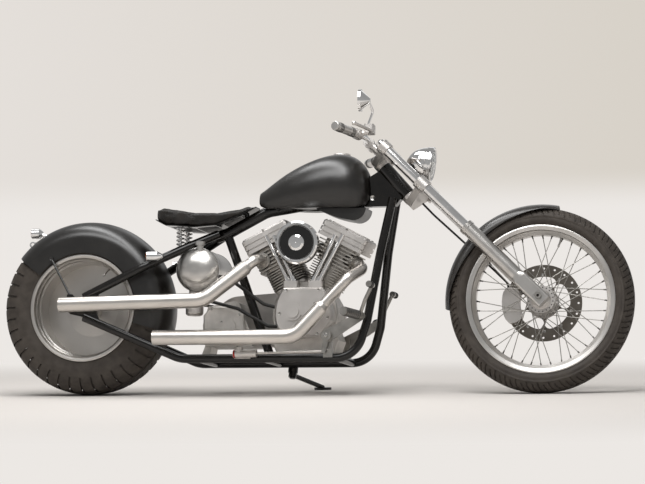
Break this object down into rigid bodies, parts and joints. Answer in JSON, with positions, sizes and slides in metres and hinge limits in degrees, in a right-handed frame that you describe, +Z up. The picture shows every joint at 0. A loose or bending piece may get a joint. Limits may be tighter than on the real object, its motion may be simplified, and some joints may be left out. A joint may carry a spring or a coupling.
{
  "type": "chopper motorcycle",
  "caption": "Long low chopper motorcycle with rigid frame, raked fork, finned vee engine, wired front wheel and solid rear wheel, leaning on its side stand",
  "frame": {"origin": "on the floor below the middle of the parked motorcycle", "axes": "+X forward, +Y to the rider's left, +Z up; the motorcycle leans to its left on the side stand"},
  "size_m": [2.438, 0.8195, 1.1488],
  "materials": {
    "black_gloss": "gloss",
    "black_satin": "satin",
    "fender_satin": "satin",
    "tyre": "matte",
    "aluminium": "satin",
    "polished": "polished",
    "chrome": "polished",
    "steel": "brushed",
    "dark_steel": "brushed",
    "leather": "matte",
    "rubber": "matte",
    "glass": "clear"
  },
  "bodies": {
    "frame": {"frame_backbone": "black_gloss", "frame_downtubes": "black_gloss", "frame_bottom_rails": "black_gloss", "frame_rear_rails": "black_gloss", "frame_axle_plates": "black_gloss", "frame_cross_tubes": "black_gloss", "rear_axle": "steel", "rear_fender": "black_satin", "fuel_tank": "black_satin", "fuel_cap": "polished", "seat_pan": "black_gloss", "seat_cushion": "leather", "crankcase": "aluminium", "cam_cover": "polished", "cylinders": "aluminium", "rocker_boxes": "polished", "pushrod_tubes": "chrome", "carburettor": "polished", "air_cleaner": "chrome", "gearbox": "aluminium", "gearbox_cover": "aluminium", "primary_cover": "polished", "oil_tank": "aluminium", "upper_exhaust_pipe": "steel", "lower_exhaust_pipe": "steel", "drive_chain": "dark_steel", "stand_lug": "black_gloss", "rear_lamps": "chrome", "rear_calliper": "polished", "seat_springs": "chrome", "oil_hoses": "rubber", "foot_controls": "aluminium", "rear_brake_master": "aluminium", "oil_filter": "polished", "coil_cover": "black_gloss"},
    "steering": {"fork_sliders": "aluminium", "fork_tubes": "chrome", "upper_tree": "polished", "lower_tree_stem": "polished", "handlebar": "chrome", "grips": "aluminium", "hand_levers": "polished", "mirrors": "chrome", "headlamp": "chrome", "headlamp_lens": "glass", "front_fender": "fender_satin", "front_calliper": "polished", "front_brake_hose": "rubber", "front_axle": "steel"},
    "front_wheel": {"front_tyre": "tyre", "front_rim": "aluminium", "front_hub": "polished", "front_spokes": "steel", "front_brake_disc": "dark_steel"},
    "rear_wheel": {"rear_tyre": "tyre", "rear_rim": "aluminium", "rear_chain_wheel": "steel"},
    "side_stand": {"side_stand": "black_gloss"}
  },
  "joints": [
    {"name": "steering_turn", "type": "hinge", "parent": "frame", "child": "steering", "pos_m": [0.30821, -0.01773, 0.80358], "axis": [-0.6691, 0.0848, 0.7383], "range_deg": [-34.2, 25.8]},
    {"name": "front_wheel_spin", "type": "hinge", "parent": "steering", "child": "front_wheel", "pos_m": [0.86978, -0.06214, 0.34615], "axis": [-0.0544, 0.9852, -0.1624], "continuous": true},
    {"name": "rear_wheel_spin", "type": "hinge", "parent": "frame", "child": "rear_wheel", "pos_m": [-0.893, -0.07259, 0.32584], "axis": [0, 0.9935, -0.1141], "continuous": true},
    {"name": "side_stand_fold", "type": "hinge", "parent": "frame", "child": "side_stand", "pos_m": [-0.123, 0.05059, 0.06611], "axis": [0.0421, 0.2978, 0.9537], "range_deg": [0, 107.4]}
  ]
}
